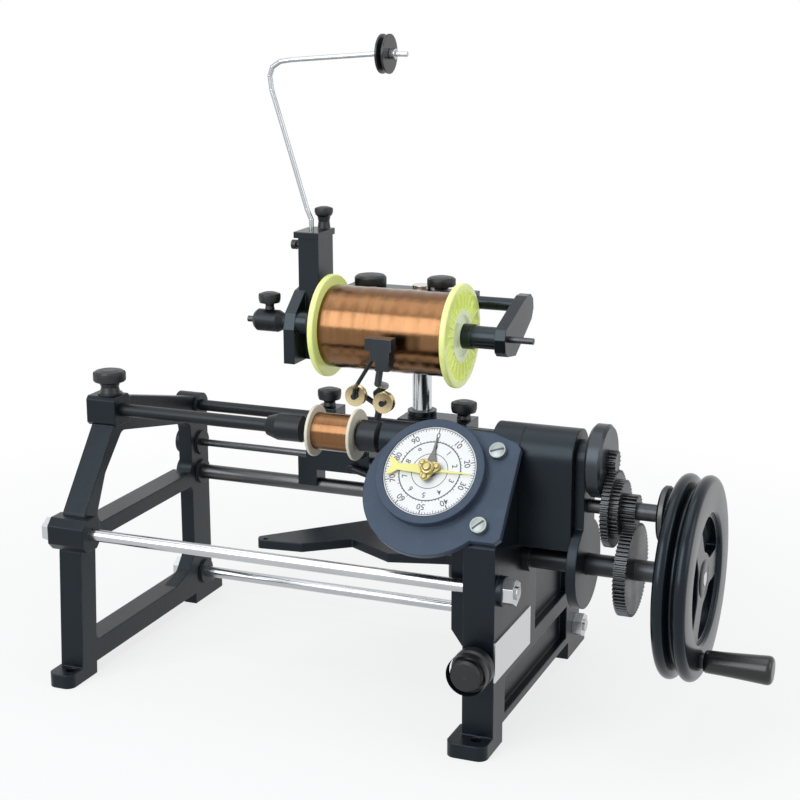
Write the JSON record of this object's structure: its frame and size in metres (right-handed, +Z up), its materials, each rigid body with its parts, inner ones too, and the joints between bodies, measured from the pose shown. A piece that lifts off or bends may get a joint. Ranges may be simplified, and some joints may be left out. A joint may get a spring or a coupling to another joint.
{
  "type": "hand-cranked coil winding machine",
  "caption": "Bench coil winder: two cast end frames on tie rods, geared spindle with turns dial, grooved handwheel with crank, traverse lever and wire spool stand.",
  "frame": {"origin": "centre of the four foot bolt holes, on the bench surface", "axes": "+Z up out of the bench, +X along the winding axis towards the handwheel, +Y from the operator to the back"},
  "size_m": [0.5587, 0.2663, 0.4948],
  "materials": {
    "casting_enamel": "slate-black enamel, satin",
    "blackened_steel": "black oxide, satin",
    "bright_steel": "polished",
    "turned_steel": "turned",
    "gear_steel": "oiled",
    "brass": "polished",
    "bobbin_plastic": "moulded",
    "spool_plastic": "translucent lime green",
    "copper_wire": "enamelled copper windings",
    "dial_white": "white enamel",
    "pointer_yellow": "yellow enamel",
    "pointer_grey": "grey enamel",
    "black_bakelite": "moulded black",
    "plate_alloy": "bare, brushed"
  },
  "bodies": {
    "base": {"left_frame": "casting_enamel", "right_frame": "casting_enamel", "tie_rods": "turned_steel", "guide_rail": "turned_steel", "traverse_rod": "turned_steel", "top_rail": "blackened_steel", "tie_rod_nuts": "turned_steel", "headstock": "casting_enamel", "spindle_bushes": "brass", "gear_case": "casting_enamel", "bearing_plate": "casting_enamel", "input_tube": "turned_steel", "dial_plate": "casting_enamel", "dial_face": "dial_white", "plate_screws": "bright_steel", "name_plate": "plate_alloy", "lever_bolt": "turned_steel"},
    "crank": {"handwheel": "casting_enamel", "input_shaft": "turned_steel", "input_gear": "gear_steel", "crank_pin": "turned_steel"},
    "handle": {"crank_handle": "black_bakelite"},
    "countershaft": {"counter_shaft": "turned_steel", "step_gear": "gear_steel"},
    "winding_spindle": {"spindle": "turned_steel", "drive_cone": "blackened_steel", "bobbin": "bobbin_plastic", "bobbin_wire": "copper_wire", "spindle_disc": "blackened_steel"},
    "long_hand": {"dial_shaft": "turned_steel", "long_pointer": "pointer_yellow"},
    "short_hand": {"short_pointer": "pointer_grey"},
    "quill": {"tailstock_quill": "blackened_steel"},
    "live_centre": {"tail_centre": "blackened_steel"},
    "quill_clamp": {"quill_knob": "blackened_steel"},
    "leg_clamp": {"leg_knob": "blackened_steel"},
    "lever": {"traverse_lever": "casting_enamel"},
    "traverse": {"carriage": "casting_enamel", "traverse_link": "blackened_steel", "guide_arm": "blackened_steel"},
    "carriage_clamp": {"carriage_knob": "blackened_steel"},
    "pulley_left": {"left_guide_pulley": "brass"},
    "pulley_right": {"right_guide_pulley": "brass"},
    "stand": {"stand_block": "casting_enamel", "spool_post": "bright_steel"},
    "stand_clamp": {"stand_knob": "blackened_steel"},
    "holder": {"holder_clamp": "casting_enamel"},
    "left_arm": {"wire_column": "casting_enamel", "spool_shaft": "bright_steel", "lock_collar": "blackened_steel"},
    "right_side_arm": {"right_arm": "casting_enamel"},
    "holder_clamp_left": {"holder_knob_left": "blackened_steel"},
    "holder_clamp_right": {"holder_knob_right": "blackened_steel"},
    "spool": {"supply_spool": "spool_plastic", "spool_winding": "copper_wire"},
    "collar_clamp": {"collar_knob": "blackened_steel"},
    "column_clamp": {"column_knob": "blackened_steel"},
    "arm_clamp": {"thumb_screw": "blackened_steel"},
    "wire_support": {"wire_arm": "turned_steel"},
    "sheave": {"wire_sheave": "black_bakelite"}
  },
  "joints": [
    {"name": "crank_turn", "type": "hinge", "parent": "base", "child": "crank", "pos_m": [0.25, -0.04, 0.126], "axis": [1, 0, 0], "continuous": true},
    {"name": "handle_spin", "type": "hinge", "parent": "crank", "child": "handle", "pos_m": [0.33, -0.04523, 0.06623], "axis": [1, 0, 0], "continuous": true},
    {"name": "countershaft_turn", "type": "hinge", "parent": "base", "child": "countershaft", "pos_m": [0.25, -0.04, 0.17], "axis": [1, 0, 0], "continuous": true},
    {"name": "spindle_turn", "type": "hinge", "parent": "base", "child": "winding_spindle", "pos_m": [0.2, -0.04, 0.2045], "axis": [1, 0, 0], "continuous": true},
    {"name": "long_hand_turn", "type": "hinge", "parent": "base", "child": "long_hand", "pos_m": [0.122, -0.08418, 0.19415], "axis": [0, -0.7705, 0.6374], "continuous": true},
    {"name": "short_hand_turn", "type": "hinge", "parent": "base", "child": "short_hand", "pos_m": [0.122, -0.08418, 0.19415], "axis": [0, -0.7705, 0.6374], "continuous": true},
    {"name": "quill_slide", "type": "slide", "parent": "base", "child": "quill", "axis": [1, 0, 0], "range_m": [-0.025, 0]},
    {"name": "live_centre_turn", "type": "hinge", "parent": "quill", "child": "live_centre", "pos_m": [-0.01, -0.04, 0.2045], "axis": [1, 0, 0], "continuous": true},
    {"name": "quill_knob_turn", "type": "hinge", "parent": "base", "child": "quill_clamp", "pos_m": [-0.169, -0.04, 0.22], "axis": [0, 0, 1], "range_deg": [-180, 180]},
    {"name": "leg_knob_turn", "type": "hinge", "parent": "base", "child": "leg_clamp", "pos_m": [0.167, -0.12, 0.067], "axis": [0, -1, 0], "range_deg": [-180, 180]},
    {"name": "lever_swing", "type": "hinge", "parent": "base", "child": "lever", "pos_m": [0.12, -0.01, 0.108], "axis": [0, 0, 1], "range_deg": [-11, 11]},
    {"name": "carriage_slide", "type": "slide", "parent": "base", "child": "traverse", "axis": [1, 0, 0], "range_m": [-0.0136, 0.0136]},
    {"name": "carriage_knob_turn", "type": "hinge", "parent": "traverse", "child": "carriage_clamp", "pos_m": [-0.038, 0.092, 0.19], "axis": [0, 0, 1], "range_deg": [-180, 180]},
    {"name": "left_pulley_spin", "type": "hinge", "parent": "traverse", "child": "pulley_left", "pos_m": [0.01, 0.038, 0.2136], "axis": [0, 1, 0], "continuous": true},
    {"name": "right_pulley_spin", "type": "hinge", "parent": "traverse", "child": "pulley_right", "pos_m": [0.034, 0.038, 0.21], "axis": [0, 1, 0], "continuous": true},
    {"name": "stand_slide", "type": "slide", "parent": "base", "child": "stand", "axis": [1, 0, 0], "range_m": [-0.01, 0.02]},
    {"name": "stand_knob_turn", "type": "hinge", "parent": "stand", "child": "stand_clamp", "pos_m": [0.08, 0.097, 0.19], "axis": [0, 0, 1], "range_deg": [-180, 180]},
    {"name": "post_swivel", "type": "hinge", "parent": "stand", "child": "holder", "pos_m": [0.0434, 0.097, 0.284], "axis": [0, 0, 1], "range_deg": [-5, 5]},
    {"name": "left_arm_slide", "type": "slide", "parent": "holder", "child": "left_arm", "axis": [1, 0, 0], "range_m": [-0.015, 0]},
    {"name": "right_arm_slide", "type": "slide", "parent": "holder", "child": "right_side_arm", "axis": [1, 0, 0], "range_m": [0, 0.02]},
    {"name": "left_holder_knob_turn", "type": "hinge", "parent": "holder", "child": "holder_clamp_left", "pos_m": [-0.002, 0.097, 0.295], "axis": [0, 0, 1], "range_deg": [-180, 180]},
    {"name": "right_holder_knob_turn", "type": "hinge", "parent": "holder", "child": "holder_clamp_right", "pos_m": [0.06, 0.097, 0.295], "axis": [0, 0, 1], "range_deg": [-180, 180]},
    {"name": "spool_spin", "type": "hinge", "parent": "left_arm", "child": "spool", "pos_m": [0.04, 0.047, 0.267], "axis": [1, 0, 0], "continuous": true},
    {"name": "collar_knob_turn", "type": "hinge", "parent": "left_arm", "child": "collar_clamp", "pos_m": [-0.0695, 0.047, 0.28], "axis": [0, 0, 1], "range_deg": [-180, 180]},
    {"name": "column_knob_turn", "type": "hinge", "parent": "left_arm", "child": "column_clamp", "pos_m": [-0.035, 0.079, 0.345], "axis": [0, 0, 1], "range_deg": [-180, 180]},
    {"name": "thumb_screw_turn", "type": "hinge", "parent": "left_arm", "child": "arm_clamp", "pos_m": [-0.05, 0.072, 0.326], "axis": [-1, 0, 0], "range_deg": [-180, 180]},
    {"name": "wire_arm_swing", "type": "hinge", "parent": "left_arm", "child": "wire_support", "pos_m": [-0.043, 0.072, 0.34], "axis": [0, 0, 1], "range_deg": [-30, 30]},
    {"name": "sheave_spin", "type": "hinge", "parent": "wire_support", "child": "sheave", "pos_m": [0.023, 0.072, 0.4795], "axis": [1, 0, 0], "continuous": true}
  ],
  "couplings": [
    {"joint": "countershaft_turn", "follows": "crank_turn", "ratio": -3},
    {"joint": "spindle_turn", "follows": "crank_turn", "ratio": 10.8},
    {"joint": "live_centre_turn", "follows": "crank_turn", "ratio": 10.8},
    {"joint": "long_hand_turn", "follows": "crank_turn", "ratio": -0.216},
    {"joint": "short_hand_turn", "follows": "crank_turn", "ratio": -0.0216},
    {"joint": "carriage_slide", "follows": "lever_swing", "m_per_rad": -0.07}
  ]
}
